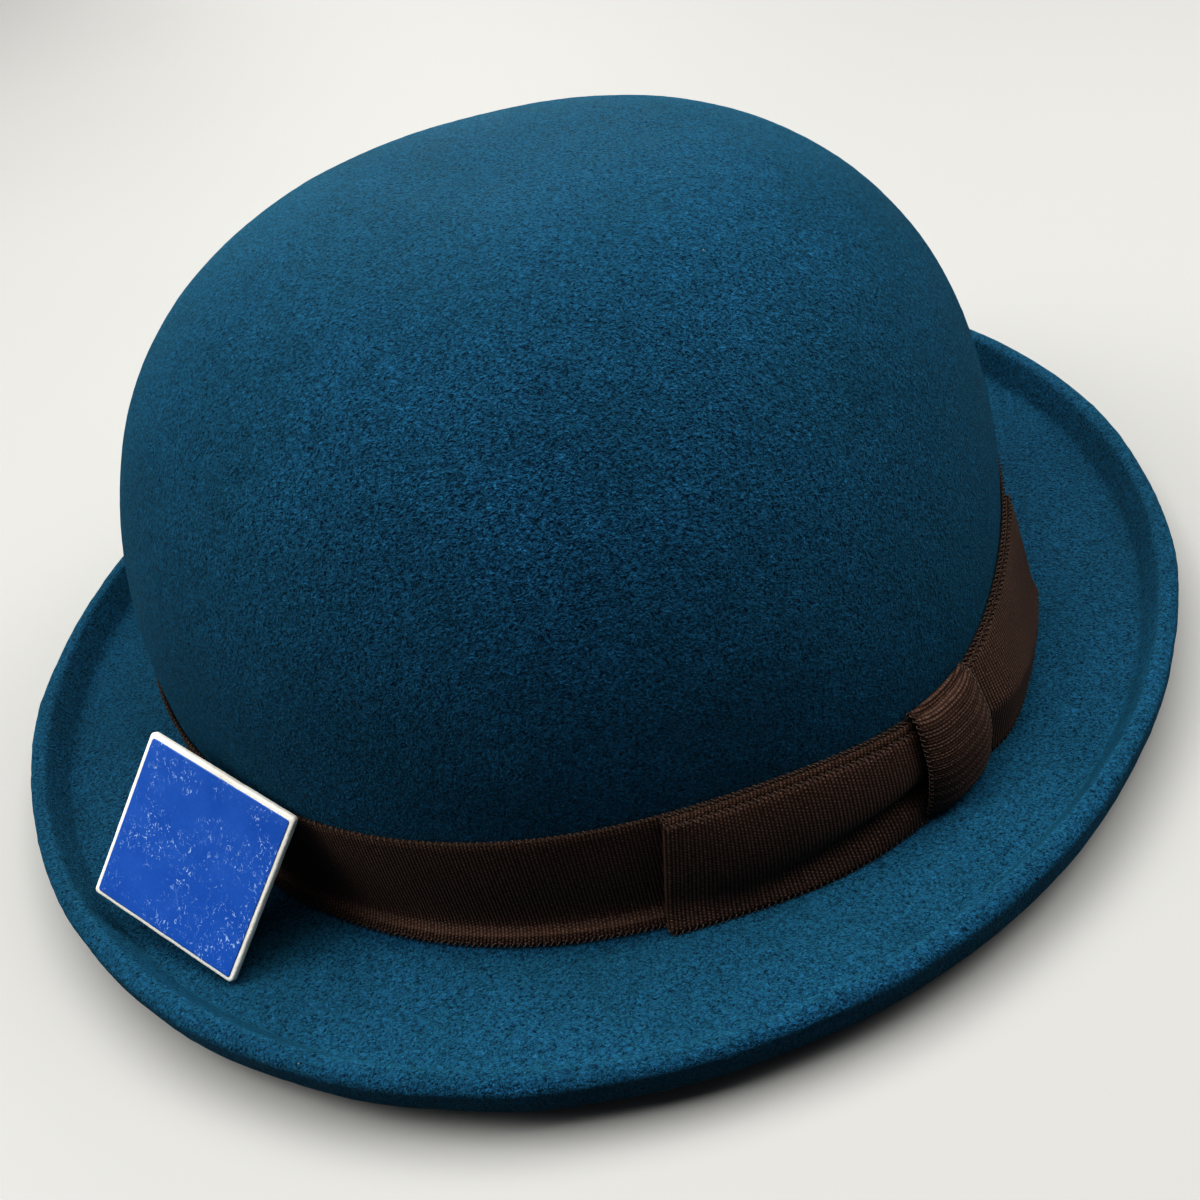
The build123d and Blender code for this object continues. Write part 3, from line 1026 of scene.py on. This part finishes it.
def print_material():
    """Blue print with rubbed spots and pale scuffs."""
    material, tree, place, _ = start_material("tag_print")
    cloudy = pattern(tree, place, 150, 3, 0.55)
    grit = pattern(tree, place, 1500, 4, 0.7)
    colour = blend_colours(tree, cloudy, (0.012, 0.085, 0.37), (0.020, 0.120, 0.46))
    colour = blend_colours(tree, remap(tree, grit, 0.35, 0.75, 0.0, 0.22), colour, (0.05, 0.17, 0.60))
    stretched = add_node(tree, "Mapping", {0: place, 3: (1.0, 1.0, 0.35)}).outputs[0]
    nicks = pattern(tree, stretched, 1500, 2, 0.6, 1.2)
    where = pattern(tree, place, 170, 3, 0.6)
    scuffs = compute(tree, "MULTIPLY", remap(tree, nicks, 0.58, 0.68), remap(tree, where, 0.44, 0.62))
    colour = blend_colours(tree, compute(tree, "MULTIPLY", scuffs, 0.75), colour, (0.45, 0.58, 0.82))
    roughness = compute(tree, "MULTIPLY_ADD", scuffs, 0.3, remap(tree, cloudy, 0.3, 0.7, 0.34, 0.46))
    height = compute(tree, "SUBTRACT", compute(tree, "MULTIPLY", grit, 0.25), scuffs)
    finish_material(tree, colour, roughness, height, 0.00005, 0.6, Specular_IOR_Level=0.5)
    return material


def floor_material():
    material, tree, place, _ = start_material("studio_floor")
    tone = pattern(tree, place, 2.5, 3, 0.5)
    colour = blend_colours(tree, tone, (0.375, 0.375, 0.367), (0.40, 0.40, 0.392))
    finish_material(tree, colour, 0.75, tone, 0.0001, 0.2, Specular_IOR_Level=0.2)
    return material


# ---------------------------------------------------------------------------------------------
# Putting it together


def finish_piece(piece, material, slot, *nodes, body="hat"):
    """Gives a piece its material and its body, and hides the CAD nodes that it stands for. The slot is
    not used.
    """
    piece.data.materials.append(material)
    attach(piece, body)
    if nodes:
        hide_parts(*nodes)
    return piece


def build_felt():
    finish_piece(make_felt_body(), felt_material(), "felt", "felt_body")


def build_ribbons():
    # The light colour is a painted highlight on the rib crests, and the dark colour is painted shade in
    # the valleys between them.
    ribbon = grosgrain_material("grosgrain", (0.0110, 0.0046, 0.0034), (0.185, 0.112, 0.089))
    edging = thread_material("selvedge", (0.020, 0.013, 0.010), (0.150, 0.112, 0.092), 0.0009)
    band, band_edges = make_hatband()
    bow, bow_edges = make_bow()
    knot, knot_edges, knot_length = make_knot()
    finish_piece(band, ribbon, "grosgrain", "hatband")
    finish_piece(bow, ribbon, "grosgrain", "bow_ribbon")
    finish_piece(knot, ribbon, "grosgrain", "bow_knot")
    for edge in band_edges + bow_edges + knot_edges:
        finish_piece(edge, edging, "grosgrain")
    loop_path(8)[1] * MM


def build_inside():
    leather = finish_piece(make_sweatband(), leather_material(), "sweatband_leather", "sweatband")
    piping = thread_material("piping", (0.006, 0.004, 0.004), (0.022, 0.016, 0.013), 0.0012)
    finish_piece(make_reed(), piping, "sweatband_piping", "sweatband_reed")
    sewing = thread_material("sewing_thread", (0.020, 0.015, 0.012), (0.075, 0.058, 0.046), 0.0005)
    stitches = finish_piece(make_stitches(), sewing, "thread", "sweatband_thread")
    satin = satin_material()
    side, side_height = make_lining_side()
    finish_piece(side, satin, "satin_lining", "lining_side")
    tip = finish_piece(make_lining_tip(), satin, "satin_lining", "lining_tip")


def build_labels():
    ground = (0.58, 0.55, 0.49)
    for name, size, middle, foot, stripe in (
        ("size_label", (14.0, 16.0), 152.0, 14.0, (0.030, 0.10, 0.17)),
        ("care_label", (22.0, 26.0), 184.0, 11.0, (0.14, 0.13, 0.12)),
    ):
        woven = label_material(f"{name}_weave", ground, stripe, *size)
        piece = make_label(f"{name}_woven", size, middle, foot)
        finish_piece(piece, woven, "woven_label", name)


def build_tag():
    board = make_plate("tag_card", tag_side / 2, 0.8, 0.0, tag_thickness, 0.3, 0.16)
    finish_piece(board, card_material(), "tag_card", "tag_board", body="tag")
    top = tag_thickness
    half = tag_side / 2 - tag_margin
    blue = make_plate("tag_blue_print", half, 0.5, top, top + tag_print, 0.05, 0.10)
    finish_piece(blue, print_material(), "tag_print", "tag_face", body="tag")


def build_floor():
    """A pale floor. It throws no diffuse light back on to the hat, because the photo's brim is dark."""
    half, level = 4.0, -0.0004
    corners = ((-half, -half), (half, -half), (half, half), (-half, half))
    mesh = bpy.data.meshes.new("floor")
    mesh.from_pydata([(x, y, level) for x, y in corners], [], [(0, 1, 2, 3)])
    mesh.materials.append(floor_material())
    floor = bpy.data.objects.new("floor", mesh)
    floor.visible_diffuse = False
    bpy.context.scene.collection.objects.link(floor)


def add_area_light(name, place, target, size, power, colour):
    """A soft square light that looks at a target."""
    light = bpy.data.lights.new(name, "AREA")
    light.shape = "SQUARE"
    light.size = size
    light.energy = power
    light.color = colour
    lamp = bpy.data.objects.new(name, light)
    lamp.location = place
    lamp.rotation_mode = "QUATERNION"
    lamp.rotation_quaternion = (Vector(target) - Vector(place)).to_track_quat("-Z", "Y")
    bpy.context.scene.collection.objects.link(lamp)


def build_lights():
    """A wide soft light over the hat, and dimmer ones beside it and behind it. The backdrop is brighter
    to the camera than to the lighting."""
    target = (0, 0, 0.04)
    warm_white = (1.0, 0.99, 0.97)
    ambient, backdrop = 0.07, 0.45
    for name, place, size, power in (
        ("overhead", (-0.12, 0.10, 1.5), 1.3, 20.0),
        ("right", (0.62, 0.69, 1.18), 0.8, 11.0),
        ("left", (-0.62, -0.69, 1.18), 0.8, 12.0),
        ("low_back", (-1.08, 0.97, 0.39), 0.6, 4.5),
    ):
        add_area_light(name, place, target, size, power, warm_white)
    world = bpy.data.worlds.new("studio")
    world.use_nodes = True
    background = world.node_tree.nodes["Background"]
    background.inputs[0].default_value = (0.95, 0.98, 1.0, 1)
    seen = add_node(world.node_tree, "LightPath").outputs["Is Camera Ray"]
    strength = compute(world.node_tree, "MULTIPLY_ADD", seen, backdrop, ambient)
    world.node_tree.links.new(strength, background.inputs[1])
    bpy.context.scene.world = world
    bpy.context.scene.view_settings.view_transform = "Standard"
    bpy.context.scene.view_settings.look = "High Contrast"


def build_camera():
    """The camera stands close, in front and to the wearer's left, and is turned a little. It was
    fitted to the photo's outline, which doesn't fix its heading well."""
    heading, height, roll = radians(48.0), radians(39.93), radians(-13.7)
    back = Vector((sin(heading) * cos(height), -cos(heading) * cos(height), sin(height)))
    level = Vector((cos(heading), sin(heading), 0))
    upright = back.cross(level)
    right = cos(roll) * level + sin(roll) * upright
    up = back.cross(right)
    camera = bpy.data.cameras.new("camera")
    camera.sensor_width = 36
    camera.lens = 35.4
    camera.clip_start = 0.01
    eye = bpy.data.objects.new("camera", camera)
    place = Matrix((right, up, back)).transposed().to_4x4()
    place.translation = Vector((0.1702, -0.1502, 0.1884))
    eye.matrix_world = place
    bpy.context.scene.collection.objects.link(eye)
    bpy.context.scene.camera = eye


build_camera()
build_lights()
build_floor()
build_felt()
build_ribbons()
build_inside()
build_labels()
build_tag()
